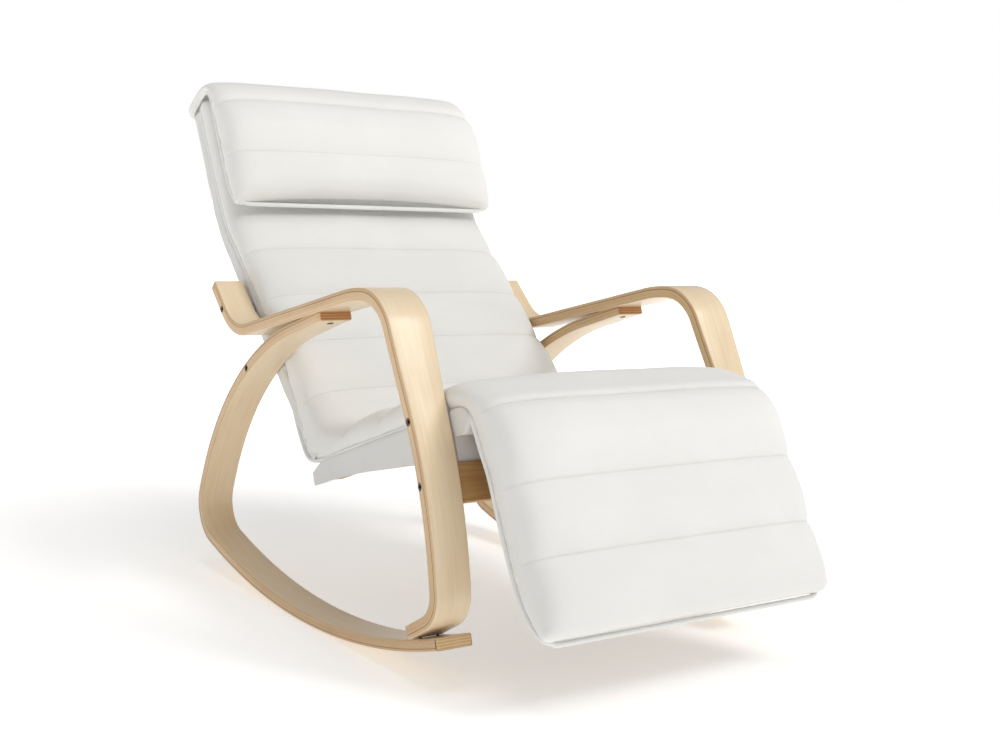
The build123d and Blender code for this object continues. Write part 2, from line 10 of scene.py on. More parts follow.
import bmesh
import bpy
import numpy as np
from mathutils import Matrix, Vector, noise


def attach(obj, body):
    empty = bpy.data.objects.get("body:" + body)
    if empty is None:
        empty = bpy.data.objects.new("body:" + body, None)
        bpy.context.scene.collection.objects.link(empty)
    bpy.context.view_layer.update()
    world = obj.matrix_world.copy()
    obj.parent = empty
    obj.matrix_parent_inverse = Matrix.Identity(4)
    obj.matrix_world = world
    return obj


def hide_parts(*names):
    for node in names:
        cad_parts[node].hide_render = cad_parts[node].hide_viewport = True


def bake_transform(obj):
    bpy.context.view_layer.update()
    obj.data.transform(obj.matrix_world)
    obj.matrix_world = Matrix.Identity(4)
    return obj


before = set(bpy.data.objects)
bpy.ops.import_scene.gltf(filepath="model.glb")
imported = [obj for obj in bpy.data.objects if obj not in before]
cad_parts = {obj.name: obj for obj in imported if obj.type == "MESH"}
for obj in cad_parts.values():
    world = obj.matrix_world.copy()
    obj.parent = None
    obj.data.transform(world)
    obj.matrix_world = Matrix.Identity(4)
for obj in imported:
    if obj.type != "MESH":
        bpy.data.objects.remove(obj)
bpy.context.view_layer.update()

# %% [markdown]
# The chair is drawn in its upright side view, in millimetres: y to the rear, z upwards from the floor.
# The whole chair is then rolled back on its rockers by a chosen 4.5 degrees, which brings it near its
# balance but not to it. One small function makes that roll, so every piece is drawn in the upright view.

# %% Side view to row frame
MM = 1000.0     # millimetres in a metre
TIP_BACK = radians(4.5)
ROCKER_CENTRE = (-20.0, 1200.0)
CENTRE_Y = -7.892


def placed(y, z):
    """A side view point in metres, after the roll."""
    a, b = y - ROCKER_CENTRE[0], z - ROCKER_CENTRE[1]
    rolled_y = ROCKER_CENTRE[0] + a * cos(TIP_BACK) + b * sin(TIP_BACK)
    rolled_z = ROCKER_CENTRE[1] - a * sin(TIP_BACK) + b * cos(TIP_BACK)
    return (rolled_y - CENTRE_Y) / MM, rolled_z / MM


def at(x, y, z):
    """A point of the upright chair, in millimetres, as a point of the row frame in metres."""
    y, z = placed(y, z)
    return Vector((x / MM, y, z))


def turned(x, y, z):
    """A direction of the upright chair as a direction of the row frame."""
    return Vector((x, y * cos(TIP_BACK) + z * sin(TIP_BACK), -y * sin(TIP_BACK) + z * cos(TIP_BACK)))


PIVOT = (-290.0, 350.9)


def unit(a, b):
    length = hypot(b[0] - a[0], b[1] - a[1])
    return (b[0] - a[0]) / length, (b[1] - a[1]) / length


LINES = {   # start, direction, and which way n points: towards the sitter
    "low": ((130.0, 257.7), unit((130, 257.7), (477, 640)), 1),
    "head": ((477.0, 640.0), unit((477, 640), (572.6, 854.7)), 1),
    "seat": (PIVOT, unit(PIVOT, (140, 227.5)), 1),
    "foot": (PIVOT, (-cos(radians(66)), -sin(radians(66))), -1),
}


def on(line, s, n):
    """Point s along one of the frame's straight lines and n towards the sitter."""
    start, way, side = LINES[line]
    return start[0] + way[0] * s - side * way[1] * n, start[1] + way[1] * s + side * way[0] * n


# %% [markdown]
# ## Finishes
# Each finish is a small graph of shader nodes. Writing the graph as Python expressions keeps it short:
# a class wraps a socket, and an operator between two values adds the Math node that works it out.

# %% Shader maths as expressions
class Value:
    """A socket that can be added to, multiplied and compared with other sockets and numbers."""

    def __init__(self, tree, socket):
        self.tree, self.socket = tree, socket

    def _math(self, operation, a, b=None):
        inputs = [a] if b is None else [a, b]
        return self.tree.node("ShaderNodeMath", {"operation": operation}, inputs)

    def __add__(self, other): return self._math("ADD", self, other)
    def __radd__(self, other): return self._math("ADD", other, self)
    def __sub__(self, other): return self._math("SUBTRACT", self, other)
    def __rsub__(self, other): return self._math("SUBTRACT", other, self)
    def __mul__(self, other): return self._math("MULTIPLY", self, other)
    def __rmul__(self, other): return self._math("MULTIPLY", other, self)
    def __truediv__(self, other): return self._math("DIVIDE", self, other)
    def __pow__(self, other): return self._math("POWER", self, other)

    def sine(self): return self._math("SINE", self)
    def size(self): return self._math("ABSOLUTE", self)


class Finish:
    """One material and the nodes that make it."""

    def __init__(self, name):
        self.material = bpy.data.materials.new(name)
        self.material.use_nodes = True
        self.nodes = self.material.node_tree.nodes
        self.links = self.material.node_tree.links
        self.shader = self.nodes["Principled BSDF"]

    def _feed(self, socket, value):
        if isinstance(value, Value):
            self.links.new(value.socket, socket)
        elif value is not None:
            socket.default_value = value

    def node(self, kind, settings=None, inputs=None, output=0):
        made = self.nodes.new(kind)
        for key, value in (settings or {}).items():
            if key == "stops":
                ramp = made.color_ramp
                for element, (where, colour) in zip(list(ramp.elements), value):
                    element.position, element.color = where, colour
                for where, colour in value[2:]:
                    ramp.elements.new(where).color = colour
            else:
                setattr(made, key, value)
        if isinstance(inputs, dict):
            for key, value in inputs.items():
                self._feed(made.inputs[key], value)
        else:
            for socket, value in zip(made.inputs, inputs or []):
                self._feed(socket, value)
        return Value(self, made.outputs[output])

    def here(self):
        return self.node("ShaderNodeTexCoord", output=3)

    def uv(self):
        return self.node("ShaderNodeTexCoord", output=2)

    def split(self, vector):
        first = self.node("ShaderNodeSeparateXYZ", None, [vector])
        return first, Value(self, first.socket.node.outputs[1]), Value(self, first.socket.node.outputs[2])

    def join(self, x, y, z):
        return self.node("ShaderNodeCombineXYZ", None, [x, y, z])

    def noise(self, vector, scale, detail=3.0, rough=0.55):
        settings = {"Vector": vector, "Scale": scale, "Detail": detail, "Roughness": rough}
        return self.node("ShaderNodeTexNoise", None, settings)

    def mix(self, factor, a, b):
        made = self.nodes.new("ShaderNodeMix")
        made.data_type = "RGBA"
        self._feed(made.inputs[0], factor)
        self._feed(made.inputs[6], a)
        self._feed(made.inputs[7], b)
        return Value(self, made.outputs[2])

    def ramp(self, factor, low, high):
        """0 below low, 1 above high, and smooth between them."""
        inputs = {"Value": factor, "From Min": low, "From Max": high}
        return self.node("ShaderNodeMapRange", {"interpolation_type": "SMOOTHSTEP"}, inputs)

    def set(self, **sockets):
        for key, value in sockets.items():
            self._feed(self.shader.inputs[key.replace("_", " ")], value)

    def bump(self, height, distance, strength=1.0):
        inputs = {"Strength": strength, "Distance": distance, "Height": height}
        normal = self.node("ShaderNodeBump", None, inputs)
        self.links.new(normal.socket, self.shader.inputs["Normal"])


def rgb(red, green, blue):
    """A display colour, 0 to 255, as the linear colour that a shader takes."""
    shares = (red / 255, green / 255, blue / 255)
    linear = [c / 12.92 if c <= 0.04045 else ((c + 0.055) / 1.055) ** 2.4 for c in shares]
    return (*linear, 1.0)


# %% [markdown]
# **Bent birch.** The strips are pressed from veneers about 2 mm thick. Their broad faces show pale,
# straight grain with a soft figure; their edges show the veneers as fine lines that follow the bend.
# The strips carry a UV map that holds the distance along the strip and the depth through it, so the
# lines bend with the wood.

# %% Birch
VENEER = 0.0021


def birch():
    f = Finish("bent_birch")
    along, depth, _ = f.split(f.uv())
    across, _, _ = f.split(f.here())
    normal_x, _, _ = f.split(f.node("ShaderNodeNewGeometry", output=1))
    edge = f.ramp(normal_x.size(), 0.55, 0.9)
    drift = f.noise(f.join(along * 1.5, across * 9.0, 0.0), 1.0, 2.0) * 0.03
    fine = f.noise(f.join(along * 9.0, (across + drift) * 420.0, depth * 60.0), 1.0, 4.0, 0.6)
    figure = f.noise(f.join(along * 7.0, across * 26.0, depth * 40.0), 1.0, 3.0, 0.55)
    cloud = f.noise(f.join(along * 2.2, across * 7.0, 0.0), 1.0, 2.0)
    face = f.mix(f.ramp(fine, 0.32, 0.7), rgb(232, 211, 177), rgb(225, 200, 162))
    face = f.mix(f.ramp(figure, 0.5, 0.78) * 0.45, face, rgb(211, 178, 132))
    face = f.mix(f.ramp(cloud, 0.35, 0.75) * 0.35, face, rgb(243, 226, 199))
    wobble = f.noise(f.join(along * 30.0, depth * 100.0, 0.0), 1.0, 2.0) * 0.12
    ply = (depth / VENEER + wobble) * (2 * pi)
    line = f.ramp(ply.sine(), 0.55, 1.0)
    tint = f.noise(f.join(along * 2.0, depth * 700.0, 0.0), 1.0, 1.0)
    side = f.mix(f.ramp(tint, 0.3, 0.7), rgb(226, 195, 150), rgb(206, 168, 116))
    side = f.mix(f.ramp(fine, 0.4, 0.75) * 0.35, side, rgb(190, 150, 100))
    side = f.mix(line * 0.55, side, rgb(166, 122, 76))
    glue = f.ramp((depth - 0.0158 + wobble * 0.002).size(), 0.0011, 0.0004)
    side = f.mix(glue * 0.75, side, rgb(134, 86, 48))
    f.set(Base_Color=f.mix(edge, face, side))
    f.set(Roughness=f.noise(f.join(along * 20.0, across * 60.0, 0.0), 1.0, 2.0) * 0.14 + 0.3)
    f.set(Coat_Weight=0.25, Coat_Roughness=0.22)
    f.bump(fine * (1 - edge) + (1 - line) * edge * 1.4, 0.00012, 0.5)
    return f.material


def end_grain(name, pale, dark):
    """The sawn end of a laminated strip: open pores, and veneers that alternate in tone."""
    f = Finish(name)
    _, depth, _ = f.split(f.uv())
    spot = f.here()
    pores = f.node("ShaderNodeTexVoronoi", None, {"Vector": spot, "Scale": 1500.0})
    bands = (depth * (pi / VENEER)).sine()
    tone = f.mix(f.ramp(bands, -0.6, 0.6), pale, dark)
    tone = f.mix(f.ramp(pores, 0.35, 0.1) * 0.35, tone, rgb(104, 62, 32))
    tone = f.mix(f.ramp(f.noise(spot, 70.0), 0.35, 0.75) * 0.4, tone, pale)
    f.set(Base_Color=tone, Roughness=f.noise(spot, 300.0) * 0.2 + 0.45)
    f.bump(pores, 0.0002, 0.4)
    return f.material


BIRCH = birch()
BIRCH_END = end_grain("birch_end_grain", rgb(226, 194, 148), rgb(204, 166, 116))
# a darker end grain colour, used on the rocker's top end, which sits under the arm
DARKER_END_GRAIN = end_grain("birch_end_darker", rgb(196, 146, 98), rgb(166, 114, 70))

# %% [markdown]
# ** Stretcher and hidden rails.** The board between the front legs is darker than the strips: that is
# painted shade, for the shade it sits in under the seat.
# The rails under the cloth are raw wood. Both run across the chair, so their grain follows X.


# %% Straight timber
def timber(name, light, dark, rough, coat):
    f = Finish(name)
    x, y, z = f.split(f.here())
    bend = f.noise(f.join(x * 3.0, y * 12.0, z * 12.0), 1.0, 2.0) * 0.02
    fine = f.noise(f.join(x * 10.0, (y + bend) * 300.0, (z + bend) * 300.0), 1.0, 4.0, 0.6)
    broad = f.noise(f.join(x * 3.0, y * 45.0, (z + bend) * 45.0), 1.0, 2.0)
    tone = f.mix(f.ramp(fine, 0.3, 0.72), light, dark)
    tone = f.mix(f.ramp(broad, 0.4, 0.75) * 0.5, tone, dark)
    f.set(Base_Color=tone, Roughness=fine * 0.15 + rough, Coat_Weight=coat, Coat_Roughness=0.25)
    f.bump(fine, 0.0002, 0.5)
    return f.material


# the board's colours are darker than the strips' as painted shade, for the shade under the seat
BOARD_PAINTED_SHADE = timber("birch_painted_shade", rgb(200, 158, 106), rgb(180, 136, 84), 0.38, 0.2)
RAW_WOOD = timber("raw_frame_wood", rgb(222, 194, 150), rgb(196, 160, 112), 0.6, 0.0)

# %% [markdown]
# **Cushion cloth.** A plain cotton weave of about 16 threads to the centimetre, off-white and matt.
# Two sine waves cross to make the over and under of the threads, and their product lifts the bump.
# One wave runs across the chair. The other has one fixed slope in the side view, so its threads
# look wider on some panels than on others.


# %% Woven cloth
def woven(name, light, shade, thread, sheen, wrinkle=0.0004):
    f = Finish(name)
    spot = f.here()
    x, y, z = f.split(spot)
    slubs = f.noise(f.join(x * 40.0, y * 900.0, z * 900.0), 1.0, 2.0)
    slubs_across = f.noise(f.join(x * 900.0, y * 60.0, z * 60.0), 1.0, 2.0)
    warp = (x * (2 * pi / thread)).sine()
    weft = ((z * 0.93 + y * 0.37) * (2 * pi / thread)).sine()
    weave = warp * weft
    crease = f.noise(spot, 38.0, 4.0, 0.5)
    cloud = f.noise(spot, 9.0, 2.0)
    tone = f.mix(f.ramp(weave, -0.9, 0.9) * 0.55, shade, light)
    tone = f.mix(f.ramp(slubs, 0.55, 0.8) * 0.35, tone, light)
    tone = f.mix(f.ramp(slubs_across, 0.6, 0.85) * 0.3, tone, shade)
    tone = f.mix(f.ramp(cloud, 0.35, 0.75) * 0.3, tone, light)
    f.set(Base_Color=tone, Roughness=f.noise(spot, 120.0) * 0.12 + 0.82)
    f.set(Sheen_Weight=sheen, Sheen_Roughness=0.5)
    f.bump(weave * (thread * 0.12) + slubs * (thread * 0.25) + crease * wrinkle, 1.0, 0.55)
    return f.material


CLOTH = woven("cushion_cotton", rgb(243, 242, 238), rgb(230, 229, 225), 0.00125, 0.15)
WELT = woven("piping_cotton", rgb(246, 246, 242), rgb(230, 230, 226), 0.0009, 0.1, 0.0001)
CANVAS = woven("sleeve_canvas", rgb(236, 235, 232), rgb(219, 218, 215), 0.0016, 0.05)
THREAD = woven("stitch_thread", rgb(243, 242, 238), rgb(206, 205, 200), 0.0004, 0.1, 0.0)


# %% [markdown]
# **Webbing, screws and plates.** Elastic webbing has ribs along each strap. The bolts are blackened
# steel and the hinge plates are zinc plated, with faint brushing and worn edges.

# %% Webbing and steel
def webbing():
    f = Finish("elastic_webbing")
    x, y, z = f.split(f.here())
    ribs = ((y * 0.6 + z * 0.8) * (2 * pi / 0.003)).sine()
    picks = (x * (2 * pi / 0.0016)).sine()
    tone = f.mix(f.ramp(ribs, -0.7, 0.7) * 0.6, rgb(150, 146, 138), rgb(190, 186, 176))
    f.set(Base_Color=tone, Roughness=f.noise(f.here(), 200.0) * 0.1 + 0.8)
    f.bump(ribs * 0.6 + picks * 0.4, 0.0004, 0.6)
    return f.material


def steel(name, base, worn, rough):
    f = Finish(name)
    x, y, z = f.split(f.here())
    brushed = f.noise(f.join(x * 30.0, y * 900.0, z * 60.0), 1.0, 3.0)
    rubbed = f.noise(f.here(), 260.0, 3.0)
    f.set(Base_Color=f.mix(f.ramp(rubbed, 0.55, 0.75) * 0.6, base, worn), Metallic=1.0)
    f.set(Roughness=brushed * 0.2 + rough)
    f.bump(brushed, 0.00005, 0.5)
    return f.material


WEB = webbing()
BLACK_STEEL = steel("blackened_steel", rgb(92, 88, 84), rgb(150, 144, 138), 0.3)
ZINC = steel("zinc_plate", rgb(176, 180, 184), rgb(206, 208, 210), 0.25)
print("finishes:", len(bpy.data.materials))

# %% [markdown]
# Every CAD part whose shape is already right keeps its mesh and only takes its finish.
# The part's name picks the finish.

# %% Finishes for the CAD parts that stay
for name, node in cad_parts.items():
    if "webbing" in name:
        finish = WEB
    elif "screws" in name or name == "side_bolts":
        finish = BLACK_STEEL
    elif "plate" in name or name in ("barrel_nuts", "bolt_spacers", "footrest_pivots"):
        finish = ZINC
    elif name == "front_stretcher":
        finish = BOARD_PAINTED_SHADE
    else:
        finish = RAW_WOOD
    if not node.material_slots:
        node.data.materials.append(finish)
    for slot in node.material_slots:
        slot.material = finish


# %% [markdown]
# ## Tools for making meshes
# A new mesh needs its faces turned outwards, smooth shading, and a crease wherever two faces meet
# at a sharp angle. One helper does that for every piece.

# %% Mesh helpers
def new_object(name, points, faces, finishes, uvs=None, face_finish=None, sharp=38.0, recalc=True):
    mesh = bpy.data.meshes.new(name)
    mesh.from_pydata([tuple(p) for p in points], [], [tuple(f) for f in faces])
    for finish in finishes:
        mesh.materials.append(finish)
    if uvs is not None:
        layer = mesh.uv_layers.new(name="along_and_depth")
        for loop in mesh.loops:
            layer.data[loop.index].uv = uvs[loop.vertex_index]
    if face_finish is not None:
        mesh.polygons.foreach_set("material_index", face_finish)
    made = bpy.data.objects.new(name, mesh)
    bpy.context.scene.collection.objects.link(made)
    tidy_normals(made, sharp, recalc)
    return made


def tidy_normals(thing, sharp=38.0, recalc=True):
    """Faces outwards, smooth, with creases at sharp edges."""
    work = bmesh.new()
    work.from_mesh(thing.data)
    if recalc:
        bmesh.ops.recalc_face_normals(work, faces=work.faces)
    for face in work.faces:
        face.smooth = True
    for edge in work.edges:
        edge.smooth = len(edge.link_faces) == 2 and edge.calc_face_angle(0.0) < radians(sharp)
    work.to_mesh(thing.data)
    work.free()


def applied(thing):
    """The modifiers made part of the mesh."""
    bpy.context.view_layer.update()
    depsgraph = bpy.context.evaluated_depsgraph_get()
    mesh = bpy.data.meshes.new_from_object(thing.evaluated_get(depsgraph))
    old = thing.data
    thing.modifiers.clear()
    thing.data = mesh
    mesh.name = thing.name
    if old.users == 0:
        bpy.data.meshes.remove(old)
    return thing


def mirrored(thing, name):
    """The same piece on the other side of the chair."""
    twin = thing.copy()
    twin.data = thing.data.copy()
    twin.name = twin.data.name = name
    bpy.context.scene.collection.objects.link(twin)
    twin.data.transform(Matrix.Diagonal((-1, 1, 1, 1)))
    twin.data.flip_normals()
    return twin


def through(knots, values, wanted):
    """Smooth curve through values given at uneven knots, read at the wanted places."""
    knots, values, wanted = np.asarray(knots, float), np.asarray(values, float), np.asarray(wanted, float)
    step = np.diff(knots)
    rise = np.diff(values, axis=0) / step[:, None]
    slope = np.empty_like(values)
    ahead_share = (step[:-1] / (step[:-1] + step[1:]))[:, None]
    slope[1:-1] = rise[:-1] * (1 - ahead_share) + rise[1:] * ahead_share
    slope[0], slope[-1] = rise[0], rise[-1]
    k = np.clip(np.searchsorted(knots, wanted, side="right") - 1, 0, len(step) - 1)
    h = step[k][:, None]
    u = ((wanted - knots[k]) / step[k])[:, None]
    return ((1 + 2 * u) * (1 - u) ** 2 * values[k] + u * (1 - u) ** 2 * h * slope[k]
            + u * u * (3 - 2 * u) * values[k + 1] + u * u * (u - 1) * h * slope[k + 1])


def ease(low, high, value):
    """0 below low, 1 above high, and smooth between them."""
    t = np.clip((np.asarray(value, float) - low) / (high - low), 0, 1)
    return t * t * (3 - 2 * t)


# %% [markdown]
# ## The bent side frames
# Each strip is one rectangle of wood swept along a line with round bends, with its outer and inner
# edges moving in and out as the strip widens. A sweep in mesh code gives full control of the taper,
# the 2.5 mm rounded corners, and the UV map that carries the veneers round each bend.

# %% Side view lines of the strips
ARM_T, ROCKER_T = 20.0, 18.0
ARM_LINE = [(383.5, 539), (306.4, 456.5), (-100, 527.4), (-181.6, 527.4),
            (-305.6, 245.5), (-320.5, 86), (-249, 50.45)]
ARM_BENDS = [90, 300, 78, 760, 46]
ROCKER_LINE = [(-318, 46.9), (44.2, -46.7), (472.3, 112.3), (334, 411), (0, 494.9)]
ROCKER_BENDS = [1191, 62, 500]


def bent_line(corners, radii, step=7.0):
    """Points and directions along straight runs joined by arcs."""
    points = [(*corners[0], *unit(corners[0], corners[1]))]

    def run_to(target):
        y, z, dy, dz = points[-1]
        length = hypot(target[0] - y, target[1] - z)
        count = max(1, round(length / step / 2))
        for i in range(1, count + 1):
            points.append((y + (target[0] - y) * i / count, z + (target[1] - z) * i / count, dy, dz))

    for before, corner, after, radius in zip(corners, corners[1:], corners[2:], radii):
        one, two = unit(before, corner), unit(corner, after)
        cross = one[0] * two[1] - one[1] * two[0]
        angle = np.arctan2(cross, one[0] * two[0] + one[1] * two[1])
        back = radius * np.tan(abs(angle) / 2)
        start = (corner[0] - one[0] * back, corner[1] - one[1] * back)
        run_to(start)
        side = 1 if angle > 0 else -1
        middle = (start[0] - one[1] * radius * side, start[1] + one[0] * radius * side)
        count = max(4, round(abs(angle) * radius / step))
        for i in range(1, count + 1):
            turn = angle * i / count
            dy, dz = one[0] * cos(turn) - one[1] * sin(turn), one[0] * sin(turn) + one[1] * cos(turn)
            points.append((middle[0] + dz * radius * side, middle[1] - dy * radius * side, dy, dz))
    run_to(corners[-1])
    return points


PLAN_FROM, PLAN_RUN = -150.0, 580.0      # the arm narrows in plan from its front bend to the rear
LEG_HEIGHTS = [0, 230, 350, 490, 600]
LEG_INNER = [[273.6], [273.6], [271], [262.5], [261]]


def arm_edges(y, z):
    """Inner and outer edge of the arm and leg strip."""
    back = max(0.0, (y - PLAN_FROM) / PLAN_RUN)
    leg = float(through(LEG_HEIGHTS, LEG_INNER, [z])[0, 0])
    return max(261 + 16 * back, leg), min(335 - 7 * back, 333 + 2 * float(ease(300, 500, z)))


def rocker_edges(y, z):
    """Inner and outer edge of the rocker; it narrows inside where it meets the arm."""
    return 268 + 5.5 * float(ease(380, 490, z)), 328.0


# %% [markdown]
# The section's corners are rounded by sanding. Each end is rounded too: two smaller rings close it,
# and these rings and the cap take the end grain finish.

# %% A laminated strip
STRIP_CREASE = 32       # degrees between faces that still shade as one
CORNER = 2.5
ROUND = [(0.0, 1.0), (0.134, 0.5), (0.5, 0.134), (1.0, 0.0)]   # one rounded corner of the section
CAP_INSET, MID_INSET, MID_MOVE = 1.6, 0.5, 0.35
DEPTH_ZERO = 0.02       # keeps the veneers' depth positive
PALE_END, DARKER_END = 1, 2  # places in the strip's list of finishes


def tube_faces(count, size):
    """Quads between each ring of points and the next, with a cap on each end."""
    quads = [(row * size + k, row * size + j, (row + 1) * size + j, (row + 1) * size + k)
             for row in range(count - 1) for k, j in ((k, (k + 1) % size) for k in range(size))]
    return quads + [tuple(range(size)), tuple(range((count - 1) * size, count * size))]


def strip(name, corners, radii, thickness, edges, last_end=PALE_END):
    """A laminated strip on the chair's left side."""
    half = thickness / 2
    rows = bent_line(corners, radii)
    last = len(rows) - 1
    ring = [(sx, sn, a, b) for sx, sn in ((1, 1), (-1, 1), (-1, -1), (1, -1))
            for a, b in (ROUND if sx * sn > 0 else ROUND[::-1])]
    moves = {0: CAP_INSET, last: -CAP_INSET}
    stations = [(0, CAP_INSET, 0.0), (0, MID_INSET, MID_MOVE)]
    stations += [(i, 0.0, moves.get(i, 0.0)) for i in range(len(rows))]
    stations += [(last, MID_INSET, -MID_MOVE), (last, CAP_INSET, 0.0)]
    points, uvs, run = [], [], 0.0
    for i, inset, move in stations:
        y, z, dy, dz = rows[i]
        if i and not inset:
            run += hypot(y - rows[i - 1][0], z - rows[i - 1][1])
        inner, outer = edges(y, z)
        for sx, sn, a, b in ring:
            x = (outer - inset - CORNER * a) if sx > 0 else (inner + inset + CORNER * a)
            n = sn * (half - inset - CORNER * b)
            points.append(at(x, y + dy * move - dz * n, z + dz * move + dy * n))
            uvs.append((run / MM, n / MM + DEPTH_ZERO))
    size, count = len(ring), len(stations)
    faces, finishes = tube_faces(count, size), [BIRCH, BIRCH_END, DARKER_END_GRAIN]
    finish_of = [0] * len(faces)
    for first, end in ((0, PALE_END), (count - 3, last_end)):
        finish_of[first * size:(first + 2) * size] = [end] * (2 * size)
    finish_of[-2:] = [PALE_END, last_end]
    return new_object(name, points, faces, finishes, uvs, finish_of, sharp=STRIP_CREASE)


arm_left = strip("arm_strip_left", ARM_LINE, ARM_BENDS, ARM_T, arm_edges)
rocker_left = strip("rocker_strip_left", ROCKER_LINE, ROCKER_BENDS, ROCKER_T, rocker_edges, DARKER_END)
print("strips:", len(arm_left.data.polygons), len(rocker_left.data.polygons), "faces")

# %% [markdown]
# The bolts enter the strips' outer edges in counterbored wells, and the rear leg is planed to fit
# under the arm. Both are cuts, so a Boolean modifier makes them. The well is a small cylinder.

# %% Wells and the planed joint
WELL_R = 0.0062
PAST_EDGE = 345.0       # beyond the strips' outer edges
# Each bolt's side view point, and the distance from the middle plane to the well's floor.
BOLTS = {"back": (348.0, 497.0, 323.5), "rear_leg": (258.6, 399.9, 322.5),
         "seat": (-257.0, 351.0, 328.0), "stretcher": (-285.0, 263.0, 328.0)}


def rod(name, start, end, radius, sides=32):
    """A round rod between two row frame points."""
    axis = (end - start).normalized()
    side = axis.orthogonal().normalized()
    other = axis.cross(side)
    points = [p + (side * cos(2 * pi * k / sides) + other * sin(2 * pi * k / sides)) * radius
              for p in (start, end) for k in range(sides)]
    return new_object(name, points, tube_faces(2, sides), [BIRCH_END])


def cut(thing, tools):
    """The piece with the tools' shapes cut away."""
    for tool in tools:
        modifier = thing.modifiers.new("cut", "BOOLEAN")
        modifier.operation, modifier.solver, modifier.object = "DIFFERENCE", "EXACT", tool
    applied(thing)
    tidy_normals(thing, STRIP_CREASE, recalc=False)


wells = {key: rod("well_" + key, at(floor_x, y, z), at(PAST_EDGE, y, z), WELL_R)
         for key, (y, z, floor_x) in BOLTS.items()}
cut(rocker_left, [arm_left, wells["rear_leg"]])
cut(arm_left, [wells["back"], wells["seat"], wells["stretcher"]])
for tool in wells.values():
    bpy.data.objects.remove(tool)
arm_right = mirrored(arm_left, "arm_strip_right")
rocker_right = mirrored(rocker_left, "rocker_strip_right")
for piece, node in ((arm_left, "arm_and_leg_left"), (arm_right, "arm_and_leg_right"),
                    (rocker_left, "rocker_left"), (rocker_right, "rocker_right")):
    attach(piece, "frame")
    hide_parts(node)
print("wells cut, strips mirrored")

# %% [markdown]
# ## The quilted cushion
# The cushion is one bag of cloth: a flat underside, a boxed side, and a crowned face that is stitched
# through in channels. It is about 50 mm thick, and 80 mm over the footrest. It is drawn as ribs in
# the side view. Each rib says where the side seam, the underside and the top of the crown are, and
# smooth curves run through all the ribs. A plain solid could not show the crown between seams, so
# every rib is spread across the chair with a rounded profile and then shaped by channels, puckers and
# soft creases.

# %% The cushion's section and a bag made from ribs
# Share of the half width, and share of the height, from the seam up over the side to the middle.
PROFILE = [(0.972, 0.0), (1.003, 0.045), (1.016, 0.13), (1.026, 0.24), (1.030, 0.36), (1.028, 0.48),
           (1.020, 0.59), (1.007, 0.68), (0.988, 0.765), (0.962, 0.832), (0.927, 0.882), (0.88, 0.916),
           (0.82, 0.941), (0.745, 0.960), (0.66, 0.974), (0.56, 0.984), (0.45, 0.991), (0.3, 0.997),
           (0.15, 0.999), (0.0, 1.0)]
UNDERSIDE = [0.955, 0.92, 0.8, 0.6, 0.4, 0.2, 0.0]
RING = [(fx, fh) for fx, fh in PROFILE] + [(-fx, fh) for fx, fh in PROFILE[-2::-1]]
OUTSIDE = len(RING)
RING += [(-fx, 0.0) for fx in UNDERSIDE] + [(fx, 0.0) for fx in UNDERSIDE[-2::-1]]
PLAN_CORNER = 24.0      # run over which the bag narrows towards an end
FLAT_END = 0.18         # share of the height that is left where a bag closes
BEYOND = 40.0           # an end counts as a channel this far past it
NARROWING = 0.45        # share of the plan corner that comes off the half width
LONG_CREASE, BROAD_CREASE, PULL = 1.3, 1.8, 1.5      # heights of the waves in the cloth
PULL_REACH, FOLD_REACH = 22, 30                      # how far from a channel its puckers reach


SAMPLES = 1500


def rings_of(ribs, step):
    """Edge, underside and top lines, run and half width, at even steps along the top line."""
    widths = np.array([r[3] for r in ribs], float)
    ribs = np.array([r[:3] for r in ribs], float)
    middle = (ribs[:, 1] + 2 * ribs[:, 2]) / 3
    knots = np.concatenate([[0], np.cumsum(np.linalg.norm(np.diff(middle, axis=0), axis=1))])
    dense = np.linspace(0, knots[-1], SAMPLES)
    top = through(knots, ribs[:, 2], dense)
    run = np.concatenate([[0], np.cumsum(np.linalg.norm(np.diff(top, axis=0), axis=1))])
    blend = run / run[-1] * 0.5 + dense / dense[-1] * 0.5
    count = int(run[-1] / step)
    places = np.interp(np.linspace(0, 1, count + 1), blend, dense)
    lines = [through(knots, ribs[:, k], places) for k in range(3)]
    top_run = np.interp(places, dense, run)
    return lines, top_run, np.interp(places, knots, widths)


def lump(*place):
    """Smooth noise from -1 to 1."""
    return noise.noise(Vector(place))


